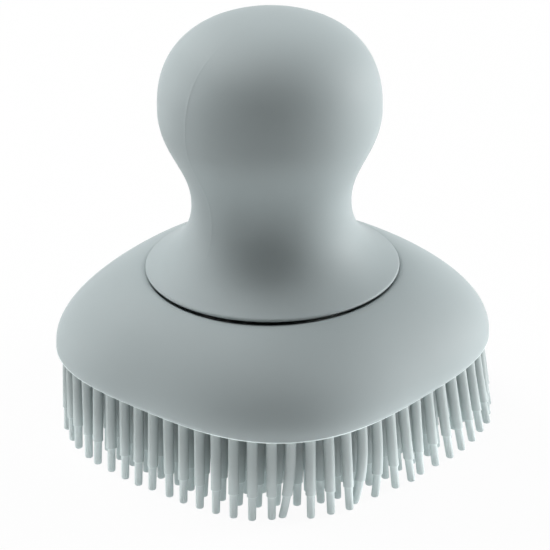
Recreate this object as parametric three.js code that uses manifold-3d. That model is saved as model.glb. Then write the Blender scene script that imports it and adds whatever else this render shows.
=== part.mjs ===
// Pet shampoo brush: a hollow ball-grip handle that screws into a domed, soft-square head
// with a field of soft stepped bristles. Millimetres, +Z up, bristle tips on z = 0.
import * as THREE from 'three';
import { mergeVertices } from 'three/addons/utils/BufferGeometryUtils.js';
import Module from 'manifold-3d';

const wasm = await Module();
wasm.setup();

// Fits between pieces
const SEAT_GAP = 0.3;
const SEAM_GAP = 0.3;
const THREAD_CLEARANCE = 0.4;
const HOLE_CLEARANCE = 0.4;
const OVERSHOOT = 1.0;

// Handle: ball, neck and skirt, with its two halves meeting on a seam through the axis
const BALL_RADIUS = 24.3;
const CROWN_HEIGHT = 20.3;
const CROWN_POWER = 2.4;
const BALL_RISE = 23.0;
const NECK_RADIUS = 17.5;
const NECK_RISE = 14.9;
const SKIRT_RADIUS = 28.0;
const SKIRT_SLOPE = THREE.MathUtils.degToRad(31);
const SKIRT_EDGE = 0.4;
const BALL_UNDERCURVE = 8.65;
const NECK_OVERCURVE = 9.95;
const NECK_UNDERCURVE = 7.7;
const SKIRT_CURVE = 5.0;
const HANDLE_WALL = 2.4;
const HANDLE_REST_TURN = THREE.MathUtils.degToRad(-6.75);

// Locating pegs of the handle halves, and the posts that its screws bite into
const PEG_RADIUS = 1.5;
const PEG_LENGTH = 3.0;
const PEG_BOSS_RADIUS = 3.0;
const PEG_BOSS_LENGTH = 5.0;
const PEG_BOSS_OVERLAP = 0.6;
const PEG_HEIGHT = 5.8;
const POST_RADIUS = 3.0;
const POST_CIRCLE = 15.3;
const POST_LENGTH = 11.0;

// Stem plate: closes the handle and carries the coarse thread
const STEM_PLATE_DROP = 2.1;
const STEM_PLATE_EDGE = 1.4;
const STEM_PLATE_THICKNESS = 3.0;
const SHOULDER_HEIGHT = 0.9;
const STEM_RADIUS = 9.0;
const THREAD_DEPTH = 1.1;
const THREAD_LEAD = 4.0;
const THREAD_ROOT_WIDTH = 2.0;
const THREAD_CREST_WIDTH = 1.0;
const THREAD_TURNS = 1.0;
const THREAD_START = 2.0;
const THREAD_LEAD_IN = 0.125;

// Seal ring under the shoulder of the stem plate
const SEAL_SECTION_RADIUS = 0.8;
const SEAL_RADIUS = 11.2;

// Threaded socket held in the recess of the dome
const SOCKET_FLANGE_RADIUS = 20.0;
const SOCKET_FLANGE_THICKNESS = 1.8;
const SOCKET_WALL = 2.0;
const SOCKET_FOOT_CLEARANCE = 1.2;

// Dome cover: widest outline, rim and the recess that the skirt covers, with a rounded lip
const DOME_HEIGHT = 17.5;
const DOME_HALF_SIDE = 43.8;
const DOME_POWER = 2.75;
const WIDEST_HEIGHT = 1.43;
const RIM_HALF_SIDE = 42.7;
const RIM_POWER = 3.05;
const DOME_WALL = 2.2;
const DOME_FOOT_WALL = 1.6;
const SKIRT_LIFT = 0.8;
const SKIRT_OVERLAP = 0.3;
const LIP_ROUND = 0.9;
const LIP_DROP = 0.25;
const LIP_STEPS = 3;
const LIP_SLOPE = THREE.MathUtils.degToRad(27);
const LIP_CURVE = 3.05;
const SIDE_CURVE = 10.2;

// Bristle pad: thin flange at the rim, plug inside the dome and studs through the backing plate
const PAD_SIDES = ['right', 'back', 'left', 'front'];
const FLANGE_THICKNESS = 0.6;
const PLUG_HEIGHT = 0.8;
const STUD_CIRCLE = 29.0;
const STUD_RADIUS = 1.5;
const STUD_HEAD_RADIUS = 2.7;
const STUD_HEAD_HEIGHT = 1.2;

// Bristles: rows that follow the rim, each a shaft with a thinner tip
const BRISTLE_LENGTH = 19.4;
const BRISTLE_TIP_LENGTH = 5.5;
const BRISTLE_WIDTH = 1.75;
const BRISTLE_TIP_WIDTH = 1.3;
const BRISTLE_ROOT = 0.5;
const BRISTLE_PITCH = 4.15;
const ROW_INSET = 2.1;
const ROW_STEP = 4.8;

// Backing plate and the posts that the clamp screws bite into
const BACKING_THICKNESS = 2.0;
const BACKING_POST_RADIUS = 2.9;
const CLAMP_CIRCLE = 16.2;

// Screws, spread round a circle from its diagonal
const SCREW_COUNT = 4;
const SCREW_START = Math.PI / 4;
const SCREW_RADIUS = 1.2;
const SCREW_HEAD_RADIUS = 2.4;
const SCREW_HEAD_HEIGHT = 1.5;
const SCREW_BITE = 8.0;
const CLAMP_BITE = 3.4;
const DRIVE_WIDTH = 0.7;
const DRIVE_LENGTH = 3.0;
const DRIVE_DEPTH = 0.8;

// Facet counts
const HANDLE_SIDES = 36;
const DOME_SIDES = 40;
const SHAFT_SIDES = 24;
const SMALL_SIDES = 10;
const SEAL_SIDES = 6;
const THREAD_STEPS_PER_TURN = 18;
const CURVE_STEPS = 6;
const ROW_SAMPLES = 200;

// Levels, stacked from the bristle tips upwards
const rimZ = BRISTLE_LENGTH;
const flangeTop = rimZ + FLANGE_THICKNESS;
const domeFoot = flangeTop + SEAT_GAP;
const plugTop = flangeTop + PLUG_HEIGHT;
const backingBottom = plugTop + SEAT_GAP;
const backingTop = backingBottom + BACKING_THICKNESS;
const lipZ = rimZ + DOME_HEIGHT;
const skirtZ = lipZ + SKIRT_LIFT;
const neckZ = skirtZ + NECK_RISE;
const ballZ = neckZ + BALL_RISE;
const stemPlateBottom = skirtZ - STEM_PLATE_DROP;
const stemPlateTop = stemPlateBottom + STEM_PLATE_THICKNESS;
const shoulderBottom = stemPlateBottom - SHOULDER_HEIGHT;
const sealZ = shoulderBottom - SEAT_GAP - SEAL_SECTION_RADIUS;
const socketTop = sealZ - SEAL_SECTION_RADIUS - SEAT_GAP;
const socketFlangeBottom = socketTop - SOCKET_FLANGE_THICKNESS;
const recessFloorTop = socketFlangeBottom - SEAT_GAP;
const recessFloorBottom = recessFloorTop - DOME_WALL;
const socketFoot = backingTop + SOCKET_FOOT_CLEARANCE;
const stemFoot = socketFoot + SEAT_GAP;
const backingPostTop = recessFloorBottom - SEAT_GAP;

// Radii that follow from the fits
const recessRadius = SKIRT_RADIUS - SKIRT_OVERLAP;
const lipRadius = recessRadius + LIP_ROUND;
const threadRadius = STEM_RADIUS + THREAD_DEPTH;
const socketBore = STEM_RADIUS + THREAD_CLEARANCE;
const socketGroove = threadRadius + THREAD_CLEARANCE;
const socketCollar = socketGroove + SOCKET_WALL;
const recessHole = socketCollar + HOLE_CLEARANCE;
const shoulderRadius = SEAL_RADIUS + SEAL_SECTION_RADIUS + SEAT_GAP;
const screwHole = SCREW_RADIUS + HOLE_CLEARANCE;
const pilotHole = SCREW_RADIUS + SEAT_GAP;

// Solids are joined and cut as closed meshes of merged corners.
function solidOf(geometry) {
  const bare = geometry.index ? geometry.toNonIndexed() : geometry.clone();
  bare.deleteAttribute('normal');
  bare.deleteAttribute('uv');
  const merged = mergeVertices(bare, 1e-4);
  const corners = merged.index.array;
  const triVerts = [];
  for (let i = 0; i < corners.length; i += 3) {
    const [a, b, c] = [corners[i], corners[i + 1], corners[i + 2]];
    if (a !== b && b !== c && c !== a) triVerts.push(a, b, c);
  }
  return new wasm.Manifold(new wasm.Mesh({
    numProp: 3,
    vertProperties: new Float32Array(merged.attributes.position.array),
    triVerts: new Uint32Array(triVerts),
  }));
}

function geometryOf(solid) {
  const mesh = solid.getMesh();
  const geometry = new THREE.BufferGeometry();
  geometry.setAttribute('position', new THREE.BufferAttribute(new Float32Array(mesh.vertProperties), 3));
  geometry.setIndex(new THREE.BufferAttribute(new Uint32Array(mesh.triVerts), 1));
  geometry.computeVertexNormals();
  return geometry;
}

// A turned solid from [radius, height] points that run from the lower axis end outwards and up.
function turned(points, sides) {
  const profile = points.map(([radius, height]) => new THREE.Vector2(radius, height));
  const geometry = new THREE.LatheGeometry(profile, sides);
  geometry.rotateX(Math.PI / 2);
  return solidOf(geometry);
}

function turnedRing(points, sides) {
  return turned([...points, points[0]], sides);
}

function rod(radius, bottom, top, x, y, sides = SMALL_SIDES) {
  const geometry = new THREE.CylinderGeometry(radius, radius, top - bottom, sides);
  geometry.rotateX(Math.PI / 2);
  geometry.translate(x, y, (bottom + top) / 2);
  return solidOf(geometry);
}

function crossRod(radius, left, right, y, z) {
  const geometry = new THREE.CylinderGeometry(radius, radius, right - left, SMALL_SIDES);
  geometry.rotateZ(Math.PI / 2);
  geometry.translate((left + right) / 2, y, z);
  return solidOf(geometry);
}

function block(width, depth, height, x, y, z) {
  const geometry = new THREE.BoxGeometry(width, depth, height);
  geometry.translate(x, y, z);
  return solidOf(geometry);
}

// A solid skinned over rings of corners. The last ring joins the first, or both ends are capped.
function skinned(rings, closed) {
  const sides = rings[0].length;
  const positions = [];
  const quad = (a, b, c, d) => positions.push(...a, ...b, ...c, ...a, ...c, ...d);
  const last = closed ? rings.length : rings.length - 1;
  for (let i = 0; i < last; i += 1) {
    const lower = rings[i];
    const upper = rings[(i + 1) % rings.length];
    for (let j = 0; j < sides; j += 1) {
      const k = (j + 1) % sides;
      quad(lower[j], lower[k], upper[k], upper[j]);
    }
  }
  if (!closed) {
    const [first, end] = [rings[0], rings[rings.length - 1]];
    for (let j = 1; j < sides - 1; j += 1) {
      positions.push(...first[0], ...first[j + 1], ...first[j]);
      positions.push(...end[0], ...end[j], ...end[j + 1]);
    }
  }
  const geometry = new THREE.BufferGeometry();
  geometry.setAttribute('position', new THREE.Float32BufferAttribute(positions, 3));
  return solidOf(geometry);
}

// Radius of a soft square at an angle, given its half side and the power that squares it up.
function softSquare(halfSide, power, angle) {
  const reach = Math.abs(Math.cos(angle)) ** power + Math.abs(Math.sin(angle)) ** power;
  return halfSide / reach ** (1 / power);
}

function softRing(z, halfSide, power, innerRadius = 0, share = 1) {
  const ring = [];
  for (let i = 0; i < DOME_SIDES; i += 1) {
    const angle = (i / DOME_SIDES) * 2 * Math.PI;
    const radius = innerRadius + (softSquare(halfSide, power, angle) - innerRadius) * share;
    ring.push([radius * Math.cos(angle), radius * Math.sin(angle), z]);
  }
  return ring;
}

function roundRing(z, radius) {
  return softRing(z, radius, 2);
}

function curvePoints(a, b, c, d, steps) {
  const [start, leave, arrive, end] = [a, b, c, d].map(([x, y]) => new THREE.Vector2(x, y));
  const curve = new THREE.CubicBezierCurve(start, leave, arrive, end);
  return curve.getPoints(steps).map((point) => [point.x, point.y]);
}

function around(count, radius, startAngle) {
  return Array.from({ length: count }, (_, i) => {
    const angle = startAngle + (i / count) * 2 * Math.PI;
    return [radius * Math.cos(angle), radius * Math.sin(angle)];
  });
}

// A ridge that climbs one lead a turn, with its section given by half widths at root and crest.
function helicalRidge(rootRadius, crestRadius, rootHalf, crestHalf, startZ, turns, startAngle) {
  const steps = Math.ceil(turns * THREAD_STEPS_PER_TURN);
  const rings = [];
  for (let i = 0; i <= steps; i += 1) {
    const turn = (i / steps) * turns;
    const angle = startAngle + turn * 2 * Math.PI;
    const z = startZ + turn * THREAD_LEAD;
    const corner = (radius, height) => [radius * Math.cos(angle), radius * Math.sin(angle), z + height];
    rings.push([
      corner(rootRadius, -rootHalf),
      corner(rootRadius, rootHalf),
      corner(crestRadius, crestHalf),
      corner(crestRadius, -crestHalf),
    ]);
  }
  return skinned(rings, false);
}

// Handle outline from the skirt edge up to the crown, and the same line moved in by the wall
function handleOutline() {
  const flare = curvePoints(
    [SKIRT_RADIUS, skirtZ],
    [SKIRT_RADIUS - SKIRT_CURVE * Math.cos(SKIRT_SLOPE), skirtZ + SKIRT_CURVE * Math.sin(SKIRT_SLOPE)],
    [NECK_RADIUS, neckZ - NECK_UNDERCURVE],
    [NECK_RADIUS, neckZ],
    CURVE_STEPS,
  );
  const swell = curvePoints(
    [NECK_RADIUS, neckZ],
    [NECK_RADIUS, neckZ + NECK_OVERCURVE],
    [BALL_RADIUS, ballZ - BALL_UNDERCURVE],
    [BALL_RADIUS, ballZ],
    CURVE_STEPS,
  );
  const crown = [];
  for (let i = 1; i < CURVE_STEPS; i += 1) {
    const angle = (i / CURVE_STEPS) * (Math.PI / 2);
    crown.push([
      BALL_RADIUS * Math.cos(angle) ** (2 / CROWN_POWER),
      ballZ + CROWN_HEIGHT * Math.sin(angle) ** (2 / CROWN_POWER),
    ]);
  }
  return [...flare, ...swell.slice(1), ...crown, [0, ballZ + CROWN_HEIGHT]];
}

function movedIn(outline, distance) {
  return outline.map(([radius, z], i) => {
    if (radius === 0) return [0, z - distance];
    const [beforeRadius, beforeZ] = outline[Math.max(i - 1, 0)];
    const [afterRadius, afterZ] = outline[i + 1];
    const along = new THREE.Vector2(afterRadius - beforeRadius, afterZ - beforeZ).normalize();
    return [radius - along.y * distance, z + along.x * distance];
  });
}

// Point where a rising line of [radius, height] points passes a height
function crossing(line, height) {
  const above = line.findIndex(([, z]) => z > height);
  const [[lowRadius, lowZ], [highRadius, highZ]] = [line[above - 1], line[above]];
  const share = (height - lowZ) / (highZ - lowZ);
  return [lowRadius + (highRadius - lowRadius) * share, height];
}

function handleShells() {
  const outline = handleOutline();
  const inner = movedIn(outline, HANDLE_WALL);
  const skirtFoot = [SKIRT_RADIUS - SKIRT_EDGE / 2, skirtZ - SKIRT_EDGE];
  const mouth = crossing(inner, skirtZ - SKIRT_EDGE);
  const cavity = inner.filter(([, z]) => z > mouth[1]);
  const shell = turned([...cavity.reverse(), mouth, skirtFoot, ...outline], HANDLE_SIDES);
  const core = turned([[0, skirtZ], ...movedIn(outline, HANDLE_WALL / 2).slice(1)], HANDLE_SIDES);

  const reach = 4 * BALL_RADIUS;
  const postFoot = stemPlateTop + SEAT_GAP;
  const pegZ = ballZ + PEG_HEIGHT;
  const pegCircle = BALL_RADIUS - HANDLE_WALL - PEG_BOSS_RADIUS + PEG_BOSS_OVERLAP;
  const pegPlaces = [-pegCircle, pegCircle];
  const posts = around(SCREW_COUNT, POST_CIRCLE, SCREW_START);

  const half = (side) => {
    const keep = block(reach, reach, reach, side * (reach + SEAM_GAP) / 2, 0, ballZ);
    let fittings = rod(POST_RADIUS, postFoot, postFoot + POST_LENGTH, ...posts[0]);
    posts.slice(1).forEach((place) => {
      fittings = fittings.add(rod(POST_RADIUS, postFoot, postFoot + POST_LENGTH, ...place));
    });
    pegPlaces.forEach((y) => {
      fittings = fittings.add(crossRod(PEG_BOSS_RADIUS, -PEG_BOSS_LENGTH, PEG_BOSS_LENGTH, y, pegZ));
    });
    let body = shell.add(fittings.intersect(core)).intersect(keep);
    posts.forEach((place) => {
      body = body.subtract(rod(pilotHole, postFoot - OVERSHOOT, postFoot + SCREW_BITE, ...place));
    });
    return body;
  };

  let left = half(-1);
  let right = half(1);
  pegPlaces.forEach((y) => {
    left = left.add(crossRod(PEG_RADIUS, -PEG_LENGTH, PEG_LENGTH, y, pegZ));
    right = right.subtract(crossRod(PEG_RADIUS + SEAT_GAP, 0, PEG_LENGTH + SEAT_GAP, y, pegZ));
  });
  return { left, right, mouthRadius: mouth[0] };
}

function stemPlate(mouthRadius) {
  const edge = mouthRadius - HOLE_CLEARANCE;
  let plate = turned([
    [0, stemFoot],
    [STEM_RADIUS, stemFoot],
    [STEM_RADIUS, shoulderBottom],
    [shoulderRadius, shoulderBottom],
    [shoulderRadius, stemPlateBottom],
    [edge, stemPlateBottom],
    [edge, stemPlateBottom + STEM_PLATE_EDGE],
    [edge - STEM_PLATE_THICKNESS, stemPlateTop],
    [0, stemPlateTop],
  ], SHAFT_SIDES);
  plate = plate.add(helicalRidge(
    STEM_RADIUS - THREAD_DEPTH,
    threadRadius,
    THREAD_ROOT_WIDTH / 2,
    THREAD_CREST_WIDTH / 2,
    stemFoot + THREAD_START,
    THREAD_TURNS,
    0,
  ));
  around(SCREW_COUNT, POST_CIRCLE, SCREW_START).forEach((place) => {
    const headRoom = SCREW_HEAD_RADIUS + SEAT_GAP;
    const seat = stemPlateBottom + SCREW_HEAD_HEIGHT;
    plate = plate.subtract(rod(headRoom, stemPlateBottom - OVERSHOOT, seat, ...place));
    plate = plate.subtract(rod(screwHole, stemPlateBottom, stemPlateTop + OVERSHOOT, ...place));
  });
  return plate;
}

function socketInsert() {
  let socket = turnedRing([
    [socketBore, socketFoot],
    [socketCollar, socketFoot],
    [socketCollar, socketFlangeBottom],
    [SOCKET_FLANGE_RADIUS, socketFlangeBottom],
    [SOCKET_FLANGE_RADIUS, socketTop],
    [socketBore, socketTop],
  ], SHAFT_SIDES);
  const startZ = stemFoot + THREAD_START;
  const turns = (socketTop + THREAD_ROOT_WIDTH - startZ) / THREAD_LEAD + THREAD_LEAD_IN;
  socket = socket.subtract(helicalRidge(
    socketBore - THREAD_DEPTH,
    socketGroove,
    THREAD_ROOT_WIDTH / 2 + THREAD_CLEARANCE,
    THREAD_CREST_WIDTH / 2 + THREAD_CLEARANCE,
    startZ - THREAD_LEAD_IN * THREAD_LEAD,
    turns,
    HANDLE_REST_TURN - THREAD_LEAD_IN * 2 * Math.PI,
  ));
  around(SCREW_COUNT, CLAMP_CIRCLE, SCREW_START).forEach((place) => {
    socket = socket.subtract(rod(screwHole, socketFlangeBottom - OVERSHOOT, socketTop + OVERSHOOT, ...place));
  });
  return socket;
}

// The dome's section, as rings that run out over the top, down to the foot and back underneath
function domeCover() {
  const lipCurve = LIP_CURVE / (DOME_HALF_SIDE - lipRadius);
  const profile = (drop) => curvePoints(
    [0, lipZ - drop],
    [lipCurve * Math.cos(LIP_SLOPE), lipZ - drop - LIP_CURVE * Math.sin(LIP_SLOPE)],
    [1, rimZ + WIDEST_HEIGHT + SIDE_CURVE],
    [1, rimZ + WIDEST_HEIGHT],
    CURVE_STEPS + 1,
  );
  const outer = profile(0).slice(1).map(([share, z]) => (
    softRing(z, DOME_HALF_SIDE, DOME_POWER, lipRadius, share)
  ));
  const lip = Array.from({ length: LIP_STEPS + 1 }, (_, i) => {
    const angle = (i / LIP_STEPS) * (Math.PI / 2);
    const z = lipZ - LIP_DROP - LIP_ROUND * (1 - Math.cos(angle));
    return roundRing(z, lipRadius - LIP_ROUND * Math.sin(angle));
  });
  const underRadius = lipRadius + DOME_WALL;
  const innerSide = DOME_HALF_SIDE - DOME_WALL;
  const inner = profile(DOME_WALL).map(([share, z]) => (
    softRing(z, innerSide, DOME_POWER, underRadius, share)
  ));
  const cover = skinned([
    roundRing(recessFloorTop, recessHole),
    roundRing(recessFloorBottom, recessHole),
    roundRing(recessFloorBottom, underRadius),
    ...inner,
    softRing(domeFoot, footSide() - DOME_FOOT_WALL, DOME_POWER),
    softRing(domeFoot, footSide(), DOME_POWER),
    ...outer.reverse(),
    ...lip,
    roundRing(recessFloorTop, recessRadius),
  ], true);
  return around(SCREW_COUNT, CLAMP_CIRCLE, SCREW_START).reduce((body, place) => (
    body.subtract(rod(screwHole, recessFloorBottom - OVERSHOOT, recessFloorTop + OVERSHOOT, ...place))
  ), cover);
}

// Half side where the tucked-under side of the dome ends, a little above the rim
function footSide() {
  const drop = (rimZ + WIDEST_HEIGHT - domeFoot) / WIDEST_HEIGHT;
  return DOME_HALF_SIDE - (DOME_HALF_SIDE - RIM_HALF_SIDE) * (1 - Math.sqrt(1 - drop * drop));
}

function plugSide() {
  return DOME_HALF_SIDE - Math.max(DOME_WALL, DOME_FOOT_WALL) - SEAT_GAP;
}

function backingPlate() {
  const side = DOME_HALF_SIDE - DOME_WALL - DOME_FOOT_WALL;
  let plate = skinned([
    softRing(backingBottom, side, DOME_POWER),
    softRing(backingTop, side, DOME_POWER),
  ], false);
  around(SCREW_COUNT, CLAMP_CIRCLE, SCREW_START).forEach((place) => {
    plate = plate.add(rod(BACKING_POST_RADIUS, backingBottom, backingPostTop, ...place));
    plate = plate.subtract(rod(pilotHole, backingPostTop - CLAMP_BITE, backingPostTop + OVERSHOOT, ...place));
  });
  around(PAD_SIDES.length, STUD_CIRCLE, 0).forEach((place) => {
    const hole = STUD_RADIUS + SEAT_GAP;
    plate = plate.subtract(rod(hole, backingBottom - OVERSHOOT, backingTop + OVERSHOOT, ...place));
  });
  return plate;
}

// Places along one side of a soft square, equally spaced from diagonal to diagonal. Odd and even
// counts follow each other from row to row, so that the rows are staggered.
function sidePlaces(halfSide, odd, middleAngle) {
  const points = [];
  for (let i = 0; i <= ROW_SAMPLES; i += 1) {
    const angle = middleAngle + (i / ROW_SAMPLES - 0.5) * (Math.PI / 2);
    const radius = softSquare(halfSide, RIM_POWER, angle);
    points.push(new THREE.Vector3(radius * Math.cos(angle), radius * Math.sin(angle), 0));
  }
  const line = new THREE.CurvePath();
  for (let i = 0; i < ROW_SAMPLES; i += 1) line.add(new THREE.LineCurve3(points[i], points[i + 1]));
  const total = Math.max(1, 2 * Math.round((line.getLength() / BRISTLE_PITCH - odd) / 2) + odd);
  return Array.from({ length: total }, (_, i) => line.getPointAt((i + 0.5) / total));
}

function bristle(x, y) {
  const ring = (width, z) => {
    const half = width / 2;
    return [[x - half, y - half, z], [x + half, y - half, z], [x + half, y + half, z], [x - half, y + half, z]];
  };
  return skinned([
    ring(BRISTLE_TIP_WIDTH, 0),
    ring(BRISTLE_WIDTH, BRISTLE_TIP_LENGTH),
    ring(BRISTLE_WIDTH, rimZ + BRISTLE_ROOT),
  ], false);
}

// One quarter of the moulded pad, from diagonal to diagonal, with its bristles and its stud
function padQuarter(middleAngle) {
  const reach = 2 * DOME_HALF_SIDE;
  const corner = SEAM_GAP / Math.SQRT2;
  const wedge = new THREE.Shape([
    new THREE.Vector2(corner, 0),
    new THREE.Vector2(corner + reach, -reach),
    new THREE.Vector2(corner + reach, reach),
  ]);
  const depth = plugTop - rimZ + 2 * OVERSHOOT;
  const wedgeGeometry = new THREE.ExtrudeGeometry(wedge, { depth, bevelEnabled: false });
  wedgeGeometry.translate(0, 0, rimZ - OVERSHOOT);
  wedgeGeometry.rotateZ(middleAngle);

  const sheet = skinned([
    softRing(rimZ, RIM_HALF_SIDE, RIM_POWER),
    softRing(flangeTop, footSide(), DOME_POWER),
    softRing(flangeTop, plugSide(), DOME_POWER),
    softRing(plugTop, plugSide(), DOME_POWER),
  ], false);
  let quarter = sheet.intersect(solidOf(wedgeGeometry));

  const [studX, studY] = around(1, STUD_CIRCLE, middleAngle)[0];
  const studHead = backingTop + SEAT_GAP;
  quarter = quarter.add(rod(STUD_RADIUS, plugTop - BRISTLE_ROOT, studHead + BRISTLE_ROOT, studX, studY));
  quarter = quarter.add(rod(STUD_HEAD_RADIUS, studHead, studHead + STUD_HEAD_HEIGHT, studX, studY));

  let odd = 1;
  for (let side = RIM_HALF_SIDE - ROW_INSET; side > BRISTLE_WIDTH; side -= ROW_STEP) {
    const strands = sidePlaces(side, odd, middleAngle).map((place) => bristle(place.x, place.y));
    quarter = quarter.add(wasm.Manifold.union(strands));
    odd = 1 - odd;
  }
  return quarter;
}

function sealRing() {
  const section = Array.from({ length: SEAL_SIDES }, (_, i) => {
    const angle = (i / SEAL_SIDES) * 2 * Math.PI;
    const radius = SEAL_RADIUS + SEAL_SECTION_RADIUS * Math.cos(angle);
    return [radius, sealZ + SEAL_SECTION_RADIUS * Math.sin(angle)];
  });
  return turnedRing(section, SHAFT_SIDES);
}

// A pan-head screw with its head's underside on z = 0 and its shank pointing down
function screw(length) {
  const bevel = SCREW_HEAD_HEIGHT / 3;
  const body = turned([
    [0, -length],
    [SCREW_RADIUS, -length + SCREW_RADIUS],
    [SCREW_RADIUS, 0],
    [SCREW_HEAD_RADIUS, 0],
    [SCREW_HEAD_RADIUS, SCREW_HEAD_HEIGHT - bevel],
    [SCREW_HEAD_RADIUS - bevel, SCREW_HEAD_HEIGHT],
    [0, SCREW_HEAD_HEIGHT],
  ], SMALL_SIDES);
  const drive = block(DRIVE_LENGTH, DRIVE_WIDTH, 2 * DRIVE_DEPTH, 0, 0, SCREW_HEAD_HEIGHT);
  const crossDrive = block(DRIVE_WIDTH, DRIVE_LENGTH, 2 * DRIVE_DEPTH, 0, 0, SCREW_HEAD_HEIGHT);
  return geometryOf(body.subtract(drive.add(crossDrive)));
}

function finish(color, roughness, metalness) {
  return new THREE.MeshStandardMaterial({ color, roughness, metalness });
}

function piece(name, geometry, material) {
  const mesh = new THREE.Mesh(geometry, material);
  mesh.name = name;
  return mesh;
}

const handleFinish = () => finish(0xa8b2b3, 0.55, 0);
const padFinish = () => finish(0xa3adac, 0.6, 0);
const innerFinish = () => finish(0xc9cccb, 0.5, 0);
const sealFinish = () => finish(0x8b9190, 0.7, 0);
const steelFinish = () => finish(0xb9bcbe, 0.3, 1);

const handle = new THREE.Group();
handle.rotation.z = HANDLE_REST_TURN;
const shells = handleShells();
handle.add(piece('handle_shell_left', geometryOf(shells.left), handleFinish()));
handle.add(piece('handle_shell_right', geometryOf(shells.right), handleFinish()));
handle.add(piece('stem_plate', geometryOf(stemPlate(shells.mouthRadius)), innerFinish()));
around(SCREW_COUNT, POST_CIRCLE, SCREW_START).forEach(([x, y], i) => {
  const headSeat = stemPlateBottom + SCREW_HEAD_HEIGHT - SEAT_GAP;
  const length = stemPlateTop + SCREW_BITE - headSeat;
  const stemScrew = piece(`stem_screw_${i + 1}`, screw(length), steelFinish());
  stemScrew.rotation.x = Math.PI;
  stemScrew.position.set(x, y, headSeat);
  handle.add(stemScrew);
});

const head = new THREE.Group();
head.add(piece('dome_cover', geometryOf(domeCover()), handleFinish()));
head.add(piece('socket_insert', geometryOf(socketInsert()), innerFinish()));
head.add(piece('backing_plate', geometryOf(backingPlate()), innerFinish()));
around(SCREW_COUNT, CLAMP_CIRCLE, SCREW_START).forEach(([x, y], i) => {
  const headSeat = socketTop + SEAT_GAP;
  const length = headSeat - backingPostTop + CLAMP_BITE - SEAT_GAP;
  const clampScrew = piece(`clamp_screw_${i + 1}`, screw(length), steelFinish());
  clampScrew.position.set(x, y, headSeat);
  head.add(clampScrew);
});
PAD_SIDES.forEach((side, i) => {
  const middleAngle = (i / PAD_SIDES.length) * 2 * Math.PI;
  head.add(piece(`bristle_pad_${side}`, geometryOf(padQuarter(middleAngle)), padFinish()));
});

const brush = new THREE.Group();
brush.add(head);
brush.add(handle);
brush.add(piece('seal_ring', geometryOf(sealRing()), sealFinish()));

export default brush;
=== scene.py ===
"""Looks of a pet shampoo brush: matte ball-grip handle, soft-square dome and soft stepped bristles."""

import bisect
import math
import random

import bmesh
import bpy
from bpy.props import FloatProperty, FloatVectorProperty, IntProperty, PointerProperty
from mathutils import Euler, Matrix, Vector


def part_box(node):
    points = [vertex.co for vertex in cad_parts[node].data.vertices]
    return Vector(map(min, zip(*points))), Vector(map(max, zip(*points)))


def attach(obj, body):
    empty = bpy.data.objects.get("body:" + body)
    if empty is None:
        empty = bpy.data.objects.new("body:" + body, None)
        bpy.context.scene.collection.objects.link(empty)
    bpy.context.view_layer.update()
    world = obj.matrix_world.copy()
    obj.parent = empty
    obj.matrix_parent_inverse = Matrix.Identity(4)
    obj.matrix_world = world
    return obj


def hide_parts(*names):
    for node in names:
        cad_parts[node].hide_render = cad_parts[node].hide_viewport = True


bl_info = {
    "name": "Pet Shampoo Brush",
    "version": (1, 0, 0),
    "blender": (4, 5, 0),
    "location": "View3D > Sidebar > Brush",
    "description": "Builds the visible surfaces of a pet shampoo brush around its solid model",
    "category": "Object",
}

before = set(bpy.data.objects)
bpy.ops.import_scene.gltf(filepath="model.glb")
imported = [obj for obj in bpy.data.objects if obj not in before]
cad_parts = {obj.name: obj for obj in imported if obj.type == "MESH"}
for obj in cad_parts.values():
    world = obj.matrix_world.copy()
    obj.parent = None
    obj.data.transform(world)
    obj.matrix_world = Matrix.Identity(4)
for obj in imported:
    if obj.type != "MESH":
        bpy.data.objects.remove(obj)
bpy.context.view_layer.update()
MM = 0.001

SHELL_LOW, SHELL_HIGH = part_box("handle_shell_left")
DOME_LOW, DOME_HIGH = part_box("dome_cover")
PLATE_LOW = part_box("backing_plate")[0]
STEM_LOW, STEM_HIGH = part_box("stem_plate")
SEAL_LOW, SEAL_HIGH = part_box("seal_ring")
SOCKET_LOW, SOCKET_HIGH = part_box("socket_insert")
STEM_SCREW_LOW, STEM_SCREW_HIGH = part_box("stem_screw_1")
CLAMP_SCREW_LOW, CLAMP_SCREW_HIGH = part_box("clamp_screw_1")


# Sizes and colours that a user would change
def length(name, millimetres, description):
    """A length property whose default is given in millimetres."""
    return FloatProperty(
        name=name,
        description=description,
        default=millimetres * MM,
        min=0.0,
        precision=5,
        subtype="DISTANCE",
        unit="LENGTH",
    )


def angle(name, degrees, description):
    """An angle property whose default is given in degrees."""
    return FloatProperty(
        name=name,
        description=description,
        default=math.radians(degrees),
        subtype="ANGLE",
        unit="ROTATION",
    )


def number(name, value, description):
    """A plain number property."""
    return FloatProperty(name=name, description=description, default=value)


def colour(name, rgb, description):
    """A linear colour property."""
    return FloatVectorProperty(
        name=name, description=description, default=rgb, size=3, min=0.0, max=1.0, subtype="COLOR"
    )


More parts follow.
